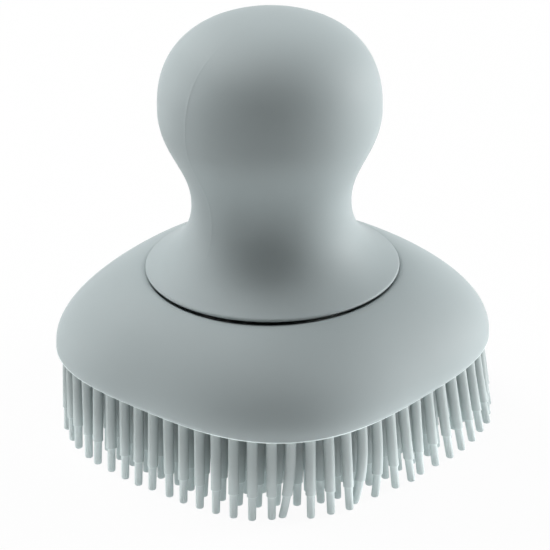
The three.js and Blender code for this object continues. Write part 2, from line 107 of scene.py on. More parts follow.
class HandleSizes(bpy.types.PropertyGroup):
    """Outline, wall and seam of the ball-grip handle."""

    crown_top: length("Crown top", SHELL_HIGH.z / MM - 0.2, "Height of the top of the ball")
    crown_height: length("Crown height", 20.3, "Top of the ball above its widest level")
    crown_power: number("Crown power", 2.44, "Fullness of the crown")
    ball_radius: length("Ball radius", 24.36, "Radius of the ball at its widest")
    ball_undercurve: length("Ball undercurve", 8.65, "How far the ball's side stays upright below")
    neck_radius: length("Neck radius", 17.5, "Radius of the neck")
    neck_rise: length("Neck rise", 14.95, "Height of the neck above the skirt edge")
    neck_overcurve: length("Neck overcurve", 9.6, "How far the neck stays upright above")
    neck_undercurve: length("Neck undercurve", 6.6, "How far the neck stays upright below")
    skirt_radius: length("Skirt radius", 28.0, "Radius of the skirt edge")
    skirt_edge: length("Skirt edge", 0.65, "Thickness of the skirt at its edge")
    skirt_rounding: length("Skirt rounding", 0.4, "How far back the skirt's edge starts to round over")
    skirt_rise: length("Skirt rise", 0.08, "Height of the skirt's underside above its solid's")
    skirt_slope: angle("Skirt slope", 28, "Slope of the skirt at its edge")
    skirt_curve: length("Skirt curve", 8.0, "How far the skirt keeps that slope")
    wall: length("Wall", 2.4, "Thickness of the shell")
    rest_turn: angle("Rest turn", -6.75, "Turn of the parting line when the handle is tight")
    play: length("Play", 0.14, "How far the handle sits to one side in its thread")
    lean: angle("Lean", 0.72, "How far that play lets the handle lean back")
    seam_gap: length("Seam gap", 0.004, "Half of the gap between the two shells")
    seam_raise: length("Seam raise", 0.05, "Height of the fine ridge along the parting line")
    seam_width: length("Seam width", 0.28, "Half width of that ridge")


class HeadSizes(bpy.types.PropertyGroup):
    """Outline of the soft-square head."""

    half_side: length("Half side", DOME_HIGH.x / MM, "Half of the width across the sides")
    power: number("Squareness", 2.75, "Power of the widest outline")
    rim_half_side: length("Rim half side", 42.7, "Half of the width at the rim")
    rim_power: number("Rim squareness", 3.05, "Power of the rim outline")
    rim_height: length("Rim height", DOME_LOW.z / MM - 0.9, "Height of the rim above the floor")
    widest_height: length("Widest height", 1.43, "Height of the widest outline above the rim")
    lip_height: length("Lip height", DOME_HIGH.z / MM + 0.6, "Height where the dome's slope starts")
    recess_radius: length("Recess radius", 27.2, "Radius of the recess that the skirt covers")
    lip_slope: angle("Lip slope", 14, "Slope of the dome at the lip")
    lip_curve: length("Lip curve", 5.2, "How far the dome keeps that slope")
    side_curve: length("Side curve", 8.1, "How far the side stays upright")
    lip_round: length("Lip rounding", 0.7, "How far the lip rolls over into the recess")
    floor_drop: length("Floor drop", 2.1, "Recess floor below the socket's top")
    hole_radius: length("Hole radius", 12.9, "Radius of the socket's hole in the recess floor")
    wall: length("Wall", 2.2, "Thickness of the dome")
    foot_wall: length("Foot wall", 1.6, "Thickness of the dome at its foot")
    flange: length("Flange", 0.4, "Thickness of the pad's flange where it shows")
    plug: length("Plug", 1.4, "Top of the pad above the rim")
    pad_room: length("Pad room", 0.3, "Clearance round the pad's plug and studs")
    stud_circle: length("Stud circle", 29.0, "Distance of the pad's studs from the middle")


class BristleSizes(bpy.types.PropertyGroup):
    """Rows and form of the soft stepped bristles."""

    radius: length("Shaft radius", 1.16, "Radius of the shaft")
    tip_radius: length("Tip radius", 0.9, "Radius of the thinner tip")
    tip_length: length("Tip length", 5.5, "Length of the thinner tip")
    pitch: length("Pitch", 4.15, "Spacing along a row")
    row_inset: length("Row inset", 2.1, "Outer row's distance from the rim")
    row_step: length("Row step", 4.8, "Spacing between rows")
    jitter: angle("Jitter", 0.9, "Random lean of a single bristle")
    start: number("Start", 0.07, "How far from the front corner the rows start, in pitches")
    spread: number("Spread", 0.85, "How far bristles have spread from the front corner, in pitches")
    seed: IntProperty(name="Seed", description="Seed of the random lean", default=7)


class FixingSizes(bpy.types.PropertyGroup):
    """Threaded stem, socket, seal and screws that join the handle to the head."""

    plate_radius: length("Plate radius", 23.8, "Radius of the plate that closes the handle")
    plate_edge: length("Plate edge", 1.4, "Height of the plate's upright edge")
    plate_thickness: length("Plate thickness", 3.0, "Thickness of the plate")
    shoulder_radius: length("Shoulder radius", 12.3, "Radius of the shoulder over the seal")
    shoulder_height: length("Shoulder height", 0.9, "Drop of the shoulder below the plate")
    stem_radius: length("Stem radius", 9.0, "Radius of the stem beside its thread")
    thread_depth: length("Thread depth", 1.1, "How far the thread stands out")
    thread_lead: length("Thread lead", 4.0, "Rise of the thread in one turn")
    thread_root: length("Thread root", 2.0, "Width of the thread where it leaves the stem")
    thread_crest: length("Thread crest", 1.0, "Width of the thread at its crest")
    thread_start: length("Thread start", 2.0, "Start of the thread above the stem's foot")
    thread_room: length("Thread room", 0.4, "Clearance round the thread")
    collar_radius: length("Collar radius", 12.5, "Radius of the socket below its flange")
    flange_thickness: length("Flange thickness", 1.8, "Thickness of the socket's flange")
    seal_section: length("Seal section", 0.8, "Radius of the seal's round section")
    stem_circle: length("Stem screw circle", 15.3, "Radius of the circle of stem screws")
    clamp_circle: length("Clamp screw circle", 16.2, "Radius of the circle of clamp screws")
    screw_radius: length("Screw radius", 1.2, "Radius of a screw's shank")
    screw_head: length("Screw head", 2.4, "Radius of a screw's head")
    screw_head_height: length("Screw head height", 1.5, "Height of a screw's head")
    screw_room: length("Screw room", 0.4, "Clearance round a screw's shank")
    easing: length("Edge easing", 0.3, "Rounding of moulded edges")


class BrushColours(bpy.types.PropertyGroup):
    """Linear base colours."""

    shell: colour("Shell", (0.397, 0.452, 0.46), "Matte moulded plastic of handle and dome")
    silicone: colour("Silicone", (0.38, 0.427, 0.428), "Bristles and their pad")
    inner: colour("Inner plastic", (0.584, 0.604, 0.597), "Plastic pieces inside")
    seal: colour("Seal", (0.258, 0.283, 0.278), "Seal ring")
    steel: colour("Steel", (0.485, 0.503, 0.515), "Screws")


class StageSettings(bpy.types.PropertyGroup):
    """Camera of the photograph."""

    azimuth: angle("Azimuth", 41.05, "Camera direction round the brush")
    elevation: angle("Elevation", 27.915, "Camera height above the horizon")
    distance: length("Distance", 800, "Camera distance from the middle of the rim")
    roll: angle("Roll", -0.953, "Turn of the camera about its own axis")
    pitch: angle("Pitch", 0.9942, "Upward aim past the middle of the rim")
    yaw: angle("Yaw", -0.0309, "Sideways aim past the middle of the rim")
    lens: number("Lens", 235.25, "Focal length in millimetres")


# Shader maths: sockets that take part in Python expressions
class Socket:
    """An output socket that can be used in expressions."""

    def __init__(self, shader, socket):
        self.shader = shader
        self.socket = socket

    def maths(self, operation, first, second):
        return self.shader.node("ShaderNodeMath", {"operation": operation}, {0: first, 1: second})

    def __add__(self, other):
        return self.maths("ADD", self, other)

    def __radd__(self, other):
        return self.maths("ADD", other, self)

    def __mul__(self, other):
        return self.maths("MULTIPLY", self, other)

    def __rmul__(self, other):
        return self.maths("MULTIPLY", other, self)

    def above(self, other):
        return self.maths("MAXIMUM", self, other)

    def below(self, other):
        return self.maths("MINIMUM", self, other)


class Shader:
    """A node tree of a material or a world, with one way to add a node."""

    def __init__(self, owner):
        owner.use_nodes = True
        self.tree = owner.node_tree
        self.tree.nodes.clear()

    def node(self, kind, settings=None, inputs=None, output=0):
        made = self.tree.nodes.new(kind)
        for name, value in (settings or {}).items():
            setattr(made, name, value)
        for name, value in (inputs or {}).items():
            if isinstance(value, Socket):
                self.tree.links.new(value.socket, made.inputs[name])
            else:
                made.inputs[name].default_value = value
        if not made.outputs:
            return None
        return Socket(self, made.outputs[output])

    def coordinates(self):
        return self.node("ShaderNodeTexCoord", output="Object")

    def noise(self, place, scale, detail, roughness=0.55):
        return self.node(
            "ShaderNodeTexNoise",
            inputs={"Vector": place, "Scale": scale, "Detail": detail, "Roughness": roughness},
            output="Fac",
        )

    def mix(self, factor, first, second):
        return self.node(
            "ShaderNodeMix",
            {"data_type": "RGBA"},
            {"Factor": factor, "A": first, "B": second},
            output="Result",
        )


def rgba(shade, factor=1.0):
    """A colour property as four numbers, lightened or darkened by a factor."""
    return (*[min(1.0, part * factor) for part in shade], 1.0)


# Finishes
WHITE = (1.0, 1.0, 1.0, 1.0)
# Vertex attribute of painted light: how far a ring is painted paler
PAINTED_LIGHT_LAYER = "painted_light"


def material(name):
    """A fresh material, its shader and the place on the object."""
    made = bpy.data.materials.new(name)
    shader = Shader(made)
    return made, shader, shader.coordinates()


def surface(shader, values, bump, distance, strength):
    """A Principled surface with a bump, on the output."""
    normal = shader.node(
        "ShaderNodeBump", inputs={"Strength": strength, "Distance": distance, "Height": bump}
    )
    bsdf = shader.node("ShaderNodeBsdfPrincipled", inputs={**values, "Normal": normal})
    shader.node("ShaderNodeOutputMaterial", inputs={"Surface": bsdf})


def matte_shell(name, shade):
    """Matte moulded plastic: a soft mottle in the colour, fine spark-eroded grain and a satin sheen."""
    made, shader, place = material(name)
    mottle = shader.noise(place, 38.0, 3.0)
    grain = shader.noise(place, 5200.0, 2.0, 0.6)
    flow = shader.noise(place, 120.0, 4.0)
    base = shader.mix(mottle, rgba(shade, 0.975), rgba(shade, 1.025))
    surface(
        shader,
        {
            "Base Color": base,
            "Roughness": 0.5 + 0.1 * grain + 0.06 * flow,
            "Specular IOR Level": 0.25,
        },
        bump=grain * 0.8 + flow * 0.2,
        distance=0.03 * MM,
        strength=0.25,
    )
    return made


def soft_silicone(name, shade):
    """Soft silicone with faint dust and a dull sheen, painted paler with painted light where its rings are
    marked.
    """
    made, shader, place = material(name)
    painted_paleness = shader.node("ShaderNodeAttribute", {"attribute_name": PAINTED_LIGHT_LAYER}, output="Fac")
    dust = shader.noise(place, 420.0, 4.0)
    tone = shader.noise(place, 70.0, 2.0)
    base = shader.mix(tone, rgba(shade, 0.95), rgba(shade, 1.05))
    # Painted light: marked rings are mixed towards a paler colour, for the lit bristle tips and the
    # painted highlight on the flange's edge
    base = shader.mix(painted_paleness, base, rgba(shade, 2.2))
    surface(
        shader,
        {
            "Base Color": base,
            "Roughness": 0.52 + 0.14 * dust,
            "Specular IOR Level": 0.4,
            "Subsurface Weight": 0.12,
            "Subsurface Radius": (0.9, 1.0, 1.0),
            "Subsurface Scale": 1.2 * MM,
        },
        bump=dust,
        distance=0.04 * MM,
        strength=0.2,
    )
    return made


def grained(name, shade, tones, noises, roughness, relief, values):
    """A finish whose colour, roughness and relief each follow a noise, given as its scale and detail."""
    made, shader, place = material(name)
    tone, wear, grain = (shader.noise(place, *noise) for noise in noises)
    base = shader.mix(tone, rgba(shade, tones[0]), rgba(shade, tones[1]))
    low, span = roughness
    surface(shader, {"Base Color": base, "Roughness": low + span * wear, **values}, grain, *relief)
    return made


def plain_plastic(name, shade):
    """Uncoated moulded plastic of the inside pieces, with faint flow lines."""
    flow, grain = (160.0, 5.0), (2600.0, 2.0)
    values = {"Specular IOR Level": 0.5}
    return grained(name, shade, (0.94, 1.04), (flow, flow, grain), (0.38, 0.18), (0.03 * MM, 0.2), values)


def dark_rubber(name, shade):
    """Dull rubber of the seal ring."""
    bloom = (700.0, 4.0)
    values = {"Specular IOR Level": 0.35}
    return grained(name, shade, (0.85, 1.15), (bloom, bloom, bloom), (0.6, 0.2), (0.04 * MM, 0.25), values)


def bright_steel(name, shade):
    """Stainless screws with turning marks and a little grime in the grain."""
    grime, marks = (500.0, 5.0), (3000.0, 3.0)
    values = {"Metallic": 1.0}
    return grained(name, shade, (0.8, 1.1), (grime, marks, marks), (0.24, 0.2), (0.02 * MM, 0.15), values)


# Mesh making
SHARP = math.radians(40)
MERGE = 1e-7


def add_object(context, name, bm, finish, sharp=SHARP):
    """A smooth-shaded object from a bmesh, with its normals turned out and its tight edges kept sharp."""
    bmesh.ops.remove_doubles(bm, verts=bm.verts, dist=MERGE)
    bmesh.ops.recalc_face_normals(bm, faces=bm.faces)
    mesh = bpy.data.meshes.new(name)
    bm.to_mesh(mesh)
    bm.free()
    for polygon in mesh.polygons:
        polygon.use_smooth = True
    mesh.set_sharp_from_angle(angle=sharp)
    mesh.materials.append(finish)
    made = bpy.data.objects.new(name, mesh)
    context.scene.collection.objects.link(made)
    return made


def skin(bm, rings, wrap_rings=False, wrap_points=True):
    """Quads between rings of points. Returns the rings as vertices."""
    made = [[bm.verts.new(point) for point in ring] for ring in rings]
    count = len(rings[0])
    last_ring = len(made) if wrap_rings else len(made) - 1
    last_point = count if wrap_points else count - 1
    for i in range(last_ring):
        lower, upper = made[i], made[(i + 1) % len(made)]
        for j in range(last_point):
            k = (j + 1) % count
            bm.faces.new((lower[j], lower[k], upper[k], upper[j]))
    return made


def capped(bm, rings):
    """A closed solid over rings, its ends filled. Returns the rings as vertices."""
    made = skin(bm, rings)
    bm.faces.new(made[0][::-1])
    bm.faces.new(made[-1])
    return made


def curve(start, leave, arrive, end, steps):
    """Points on a cubic curve through (radius, height) pairs."""
    points = []
    for i in range(steps + 1):
        t = i / steps
        s = 1 - t
        weights = (s**3, 3 * s * s * t, 3 * s * t * t, t**3)
        corners = (start, leave, arrive, end)
        points.append(tuple(sum(w * c[axis] for w, c in zip(weights, corners)) for axis in (0, 1)))
    return points


def moved_in(outline, distance):
    """An outline of (radius, height) points moved inwards by a wall."""
    moved = []
    for i, (radius, height) in enumerate(outline):
        before = outline[max(i - 1, 0)]
        after = outline[min(i + 1, len(outline) - 1)]
        along = Vector((after[0] - before[0], after[1] - before[1])).normalized()
        moved.append((radius - along.y * distance, height + along.x * distance))
    return moved


def soft_square(half_side, power, turn):
    """Radius of a soft square in a direction."""
    reach = abs(math.cos(turn)) ** power + abs(math.sin(turn)) ** power
    return half_side / reach ** (1 / power)


def round_ring(radius, height, count, centre=Vector((0, 0))):
    """A round ring of points about an upright axis."""
    turns = [2 * math.pi * i / count for i in range(count)]
    return [(centre.x + radius * math.cos(t), centre.y + radius * math.sin(t), height) for t in turns]


def soft_ring(half_side, power, height, count, inner=0.0, share=1.0, inset=0.0):
    """A soft-square ring, part of the way out from a round inner radius."""
    ring = []
    for i in range(count):
        turn = 2 * math.pi * i / count
        reach = soft_square(half_side, power, turn) - inset
        radius = inner + (reach - inner) * share
        ring.append((radius * math.cos(turn), radius * math.sin(turn), height))
    return ring


# The handle
def handle_outline(sizes):
    """Outer line of the handle from the crown to the skirt edge, and the rounded edge below it."""
    ball_level = sizes.crown_top - sizes.crown_height
    under = SHELL_LOW.z + sizes.skirt_rise
    skirt_level = under + sizes.skirt_edge
    neck_level = skirt_level + sizes.neck_rise
    crown = []
    steps = 40
    for i in range(steps):
        turn = (1 - i / steps) * math.pi / 2
        out, up = (max(0.0, wave(turn)) ** (2 / sizes.crown_power) for wave in (math.cos, math.sin))
        crown.append((sizes.ball_radius * out, ball_level + sizes.crown_height * up))
    crown[0] = (0.0, sizes.crown_top)
    swell = curve(
        (sizes.ball_radius, ball_level),
        (sizes.ball_radius, ball_level - sizes.ball_undercurve),
        (sizes.neck_radius, neck_level + sizes.neck_overcurve),
        (sizes.neck_radius, neck_level),
        40,
    )
    rounding = sizes.skirt_rounding
    run = Vector((math.cos(sizes.skirt_slope), -math.sin(sizes.skirt_slope)))
    edge = Vector((sizes.skirt_radius, skirt_level))
    top_edge = edge - run * rounding
    flare = curve(
        (sizes.neck_radius, neck_level),
        (sizes.neck_radius, neck_level - sizes.neck_undercurve),
        tuple(edge - run * sizes.skirt_curve),
        tuple(top_edge),
        36,
    )
    lip = curve(
        tuple(top_edge),
        tuple(edge + run * rounding * 0.3),
        (sizes.skirt_radius + 0.3 * rounding, under),
        (sizes.skirt_radius - 1.5 * rounding, under),
        10,
    )
    return crown + swell[:-1] + flare, lip[1:]


def shell_section(sizes):
    """Closed line of the shell's section: down the outside, under the skirt and up the inside."""
    outside, lip = handle_outline(sizes)
    under = lip[-1][1]
    inside = moved_in(outside[::-1], sizes.wall)
    inside[-1] = (0.0, sizes.crown_top - sizes.wall)
    first = next(i for i, point in enumerate(inside) if point[1] > under)
    below, above = inside[first - 1], inside[first]
    share = (under - below[1]) / (above[1] - below[1])
    mouth = (below[0] + (above[0] - below[0]) * share, under)
    return outside + lip + [mouth] + inside[first:]


def seam_turns():
    """Angles over half a turn, close together beside the parting line at both ends."""
    near = [0.0, 0.15, 0.35, 0.6, 0.9, 1.3, 1.8, 2.5, 3.5, 5.0]
    middle = [6.75 + 2.4375 * i for i in range(69)]
    return [math.radians(t) for t in near + middle + [180 - t for t in reversed(near)]]


def seam_fade(sizes, height):
    """1 down to the neck, and 0 on the lower skirt, where the parting line has been polished away."""
    share = (height - SHELL_LOW.z) / sizes.neck_rise
    return min(1.0, max(0.0, 2.2 * share - 0.9))


def handle_half(context, sizes, name, node, side, finish):
    """One half of the handle, with a fine ridge along the parting line."""
    section = shell_section(sizes)
    azimuth = context.scene.brush_stage.azimuth
    aside = Vector((math.cos(azimuth), math.sin(azimuth), 0))
    skirt = Vector((0, 0, SHELL_LOW.z))
    sit = Matrix.Translation(skirt + aside * sizes.play) @ Matrix.Rotation(-sizes.lean, 4, aside)
    turn_home = sit @ Matrix.Translation(-skirt) @ Matrix.Rotation(sizes.rest_turn, 4, "Z")
    bm = bmesh.new()
    columns = []
    for turn in seam_turns():
        column = []
        for radius, height in section:
            across = side * radius * math.sin(turn)
            along = -radius * math.cos(turn)
            ridge = sizes.seam_raise * math.exp(-((across / sizes.seam_width) ** 2))
            ridge *= seam_fade(sizes, height)
            if radius > sizes.neck_radius * 0.3:
                across *= 1 + ridge / radius
                along *= 1 + ridge / radius
            if abs(across) < sizes.seam_gap:
                across = side * sizes.seam_gap
            column.append(turn_home @ Vector((across, along, height)))
        columns.append(column)
    made = skin(bm, columns, wrap_points=False)
    bm.faces.new(made[0])
    bm.faces.new(made[-1][::-1])
    shell = add_object(context, name, bm, finish, math.radians(50))
    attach(shell, "handle")
    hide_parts(node)


class BRUSH_OT_handle(bpy.types.Operator):
    """Two halves of the hollow ball-grip handle"""

    bl_idname = "brush.handle"
    bl_label = "Handle"

    def execute(self, context):
        scene = context.scene
        finish = matte_shell("matte_handle_shell", scene.brush_colours.shell)
        sizes = scene.brush_handle
        handle_half(context, sizes, "handle_half_left", "handle_shell_left", -1, finish)
        handle_half(context, sizes, "handle_half_right", "handle_shell_right", 1, finish)
        return {"FINISHED"}


# The dome
DOME_COUNT = 256


def tuck(sizes, drop, inset, count):
    """Ring on the tucked-under side, a drop below the widest outline."""
    share = min(1.0, drop / sizes.widest_height)
    turned = 1 - math.sqrt(max(0.0, 1 - share * share))
    half_side = sizes.half_side + (sizes.rim_half_side - sizes.half_side) * turned
    power = sizes.power + (sizes.rim_power - sizes.power) * turned
    level = sizes.rim_height + sizes.widest_height - drop
    return soft_ring(half_side, power, level, count, inset=inset)


def dome_rings(sizes):
    """Rings of the dome: from the recess floor over the lip and the side to the foot, and back inside."""
    recess = sizes.recess_radius
    crest = recess + sizes.lip_round
    reach = sizes.half_side - crest
    floor_top = SOCKET_HIGH.z - sizes.floor_drop
    floor_bottom = floor_top - sizes.wall
    hole = sizes.hole_radius
    lip = sizes.lip_height
    widest = sizes.rim_height + sizes.widest_height
    fall = Vector((math.cos(sizes.lip_slope), -math.sin(sizes.lip_slope)))

    def side(drop, count):
        return curve(
            (crest, lip - drop),
            (crest + sizes.lip_curve * fall.x, lip - drop + sizes.lip_curve * fall.y),
            (sizes.half_side, widest + sizes.side_curve),
            (sizes.half_side, widest),
            count,
        )

    def ring(radius, height):
        if radius <= crest:
            return round_ring(radius, height, DOME_COUNT)
        return soft_ring(sizes.half_side, sizes.power, height, DOME_COUNT, crest, (radius - crest) / reach)

    outside = [point for point in side(0.0, 56) if point[0] > crest + sizes.lip_round]
    shoulder = Vector(outside[0])
    start, rise, run = (share * sizes.lip_round for share in (1.8, 0.55, 1.2))
    roll = curve(
        (recess, lip - start), (recess, lip - rise), tuple(shoulder - fall * run), tuple(shoulder), 14
    )
    corner, foot_gap, foot_edge = 0.5 * MM, 0.04 * MM, 0.12 * MM
    rings = [round_ring(hole, floor_top, DOME_COUNT)]
    rings += [round_ring(recess - corner, floor_top, DOME_COUNT)]
    rings += [round_ring(recess, floor_top + corner, DOME_COUNT)]
    rings += [ring(radius, height) for radius, height in roll[:-1] + outside]
    foot_drop = sizes.widest_height - sizes.flange - foot_gap
    rings += [tuck(sizes, foot_drop * i / 6, 0.0, DOME_COUNT) for i in range(1, 7)]
    rings += [tuck(sizes, foot_drop, inset, DOME_COUNT) for inset in (foot_edge, sizes.foot_wall)]
    under = crest + sizes.wall
    inner_side = sizes.half_side - sizes.wall
    rings += [
        soft_ring(inner_side, sizes.power, height, DOME_COUNT, under, (radius - crest) / reach)
        for radius, height in reversed(side(sizes.wall, 16))
    ]
    rings += [round_ring(under, floor_bottom, DOME_COUNT), round_ring(hole, floor_bottom, DOME_COUNT)]
    return rings


class BRUSH_OT_dome(bpy.types.Operator):
    """Soft-square dome with the recess that the handle's skirt sits in"""

    bl_idname = "brush.dome"
    bl_label = "Dome"

    def execute(self, context):
        scene = context.scene
        bm = bmesh.new()
        skin(bm, dome_rings(scene.brush_head), wrap_rings=True)
        finish = matte_shell("matte_dome_shell", scene.brush_colours.shell)
        dome = add_object(context, "dome_shell", bm, finish)
        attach(dome, "head")
        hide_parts("dome_cover")
        return {"FINISHED"}


# The pad and its bristles
PAD_COUNT = 192
STUD_COUNT = 20
ROW_SAMPLES = 1600
SPREAD_POWER = 1.4
FINE_ROWS = 3
FINE_SIDES = 16
PLAIN_SIDES = 10

# How far a bristle's rings are painted paler from root to tip, in the outer row and behind it: painted
# light that grows towards the tips, with little at the shaded roots
OUTER_SHAFT = (0.06, 0.06, 0.06, 0.06, 0.07, 0.09, 0.17, 0.28, 0.37, 0.56, 0.6)
OUTER_TIP = (0.42, 0.42, 0.44, 0.46, 0.48, 0.5, 0.5, 0.5, 0.5)
INNER_SHAFT = (0.0, 0.0, 0.0, 0.0, 0.01, 0.06, 0.2, 0.35, 0.47, 0.73, 0.78)
INNER_TIP = (0.55, 0.55, 0.57, 0.6, 0.62, 0.65, 0.65, 0.65, 0.65)
# Painted light is strongest at the front corner: its place across the picture and its reach, in
# millimetres
CORNER_PLACE = 2
CORNER_REACH = 18

# Leans to the right, and out to the front and back: millimetres across the picture, degrees
SIDE_LEANS = ((-46.0, -1.4), (-36.0, -0.85), (-27.0, -2.2), (-13.0, -1.1), (0.5, -2.4), (5.5, -1.0))
SIDE_LEANS += ((10.5, 2.2), (14.4, 0.8), (18.0, 2.8), (28.0, 5.3), (38.5, 8.0), (46.0, 7.6))
OUTWARD_LEANS = ((-46.0, 5.8), (-12.0, 5.4), (-4.5, 4.6), (-0.5, 0.0))
OUTWARD_LEANS += ((3.0, 0.0), (8.0, 2.6), (30.0, 2.8), (40.0, 1.6))
OUTWARD_REACH = 10
LEAN_POWER = 1.15

# Bent bristles of the outer row: millimetres across the picture, and bend to the right in millimetres
BENT = ((3.7, -1.6), (18.6, -2.9), (21.6, -1.7))
BEND_POWER = 2.6


def mark_painted_light(bm, rings, amounts):
    """Mark rings of vertices, by number, with an amount of painted light, which paints them paler."""
    layer = bm.verts.layers.float[PAINTED_LIGHT_LAYER]
    for number, amount in amounts.items():
        for vertex in rings[number]:
            vertex[layer] = amount


def pad_sheet(bm, sizes):
    """Flange at the rim, with a rounded lower edge painted paler as a painted highlight, and the plug
    above it inside the dome.
    """
    rim = sizes.rim_height
    edge = 0.16 * MM
    drop = sizes.widest_height
    plug_side = sizes.half_side - sizes.wall - sizes.pad_room
    rings = [
        soft_ring(sizes.rim_half_side, sizes.rim_power, rim, PAD_COUNT, inset=share * edge)
        for share in (2.4, 0.6)
    ]
    rings += [tuck(sizes, drop - edge * share, -0.2 * edge, PAD_COUNT) for share in (0.6, 1.4)]
    rings += [tuck(sizes, drop - sizes.flange, 0.0, PAD_COUNT)]
    levels = (rim + sizes.flange, rim + sizes.plug)
    rings += [soft_ring(plug_side, sizes.power, level, PAD_COUNT) for level in levels]
    # Painted highlight: the flange's rounded lower edge is painted paler, as the bright line along the rim
    mark_painted_light(bm, capped(bm, rings), {1: 0.5, 2: 1.0, 3: 1.0, 4: 0.7})


def pad_studs(bm, sizes):
    """Mushroom studs that button the pad to the backing plate."""
    plate = 2.0 * MM
    shank, cap = 1.5 * MM, 2.7 * MM
    seat = PLATE_LOW.z + plate + sizes.pad_room
    foot = sizes.rim_height + sizes.plug - 0.4 * MM
    line = [(shank, foot), (shank, seat), (cap, seat), (cap, seat + 0.5 * MM)]
    line += [(2.1 * MM, seat + 1.0 * MM), (1.0 * MM, seat + 1.2 * MM)]
    for quarter in range(4):
        centre = Matrix.Rotation(quarter * math.pi / 2, 4, "Z") @ Vector((sizes.stud_circle, 0, 0))
        capped(bm, [round_ring(radius, height, STUD_COUNT, centre) for radius, height in line])


def row_places(half_side, power, sizes, phase):
    """Places along a row, round from the front corner, which the bristles have spread away from in use."""
    points = []
    for i in range(ROW_SAMPLES + 1):
        turn = (2 * i / ROW_SAMPLES - 0.25) * math.pi
        radius = soft_square(half_side, power, turn)
        points.append(Vector((radius * math.cos(turn), radius * math.sin(turn))))
    lengths = [0.0]
    for before, after in zip(points, points[1:]):
        lengths.append(lengths[-1] + (after - before).length)
    per_side = max(1, 2 * math.floor((lengths[-1] / sizes.pitch - 4) / 8 + 0.5) + 1)
    count = 4 * per_side
    places = []
    for i in range(count):
        share = (i + phase + sizes.start) / count
        away = 2 * min(share, 1 - share)
        shift = sizes.spread / count * math.sin(math.pi * away**SPREAD_POWER)
        target = lengths[-1] * (share + math.copysign(shift, 0.5 - share))
        after = bisect.bisect_left(lengths, target, 1, ROW_SAMPLES)
        part = (target - lengths[after - 1]) / (lengths[after] - lengths[after - 1])
        places.append(points[after - 1].lerp(points[after], part))
    return places


def bristle_rows(head, sizes):
    """Roots of the bristles, row by row from the rim inwards. Every other row is set back half a pitch."""
    rows = []
    half_side = head.rim_half_side - sizes.row_inset
    while half_side > sizes.radius:
        rows.append(row_places(half_side, head.rim_power, sizes, 0.5 * (len(rows) % 2)))
        half_side -= sizes.row_step
    return rows


def bristle_line(sizes, reach):
    """(distance from the root, radius) along a bristle: flared root, shaft, step and blunt tip."""
    step = reach - sizes.tip_length
    shaft, tip = sizes.radius, sizes.tip_radius
    rounding = 0.26 * MM
    line = [(-0.3 * MM, 1.2 * shaft), (0.0, 1.12 * shaft), (0.3 * MM, 1.02 * shaft)]
    line += [(step * share, shaft * (1.02 - 0.04 * share)) for share in (0.15, 0.32, 0.5, 0.68, 0.85)]
    line += [(step - 0.22 * MM, 0.98 * shaft), (step - 0.1 * MM, 1.01 * shaft), (step, 0.99 * shaft)]
    line += [(step + 0.08 * MM, 1.05 * tip), (step + 0.25 * MM, tip)]
    line += [(step + sizes.tip_length * share, tip * (1.0 - 0.04 * share)) for share in (0.25, 0.5, 0.75)]
    for degrees in (0, 30, 60, 90):
        turn = math.radians(degrees)
        run = reach - rounding * (1 - math.sin(turn))
        line.append((run, 0.96 * tip - rounding * (1 - math.cos(turn))))
    return line


def bristle(bm, sizes, root, level, lean, bend, pale, sides):
    """One bristle from its root on the pad to the floor. Lean and bend are sideways runs at the tip."""
    shorter = math.sqrt(max(0.0, 1 - ((lean + bend).length / level) ** 2))
    rings = []
    for run, radius in bristle_line(sizes, level):
        share = max(0.0, run / level)
        centre = root + lean * share**LEAN_POWER + bend * share**BEND_POWER
        height = level - run * (shorter if run > 0 else 1.0)
        rings.append(round_ring(radius, height, sides, centre))
    mark_painted_light(bm, capped(bm, rings[::-1]), dict(enumerate(reversed(pale))))


def bristle_painted_light(row, across, ahead, outward):
    """How far a bristle's rings are painted paler, as painted light: most near the front corner, least at
    the back.
    """
    corner = max(0.0, 1 - abs(across - CORNER_PLACE) / CORNER_REACH) if ahead > 0 else 0.0
    amounts = INNER_SHAFT + INNER_TIP if row else OUTER_SHAFT + OUTER_TIP
    share = 0.65 + 0.35 * outward + 0.35 * corner
    return [min(1.0, amount * share) for amount in amounts]


def lean_at(leans, across):
    """Lean in degrees at a place across the picture, between the places that a list of leans gives."""
    for (near, first), (far, second) in zip(leans, leans[1:]):
        if across <= far:
            share = max(0.0, (across - near) / (far - near))
            return first + (second - first) * share
    return leans[-1][1]


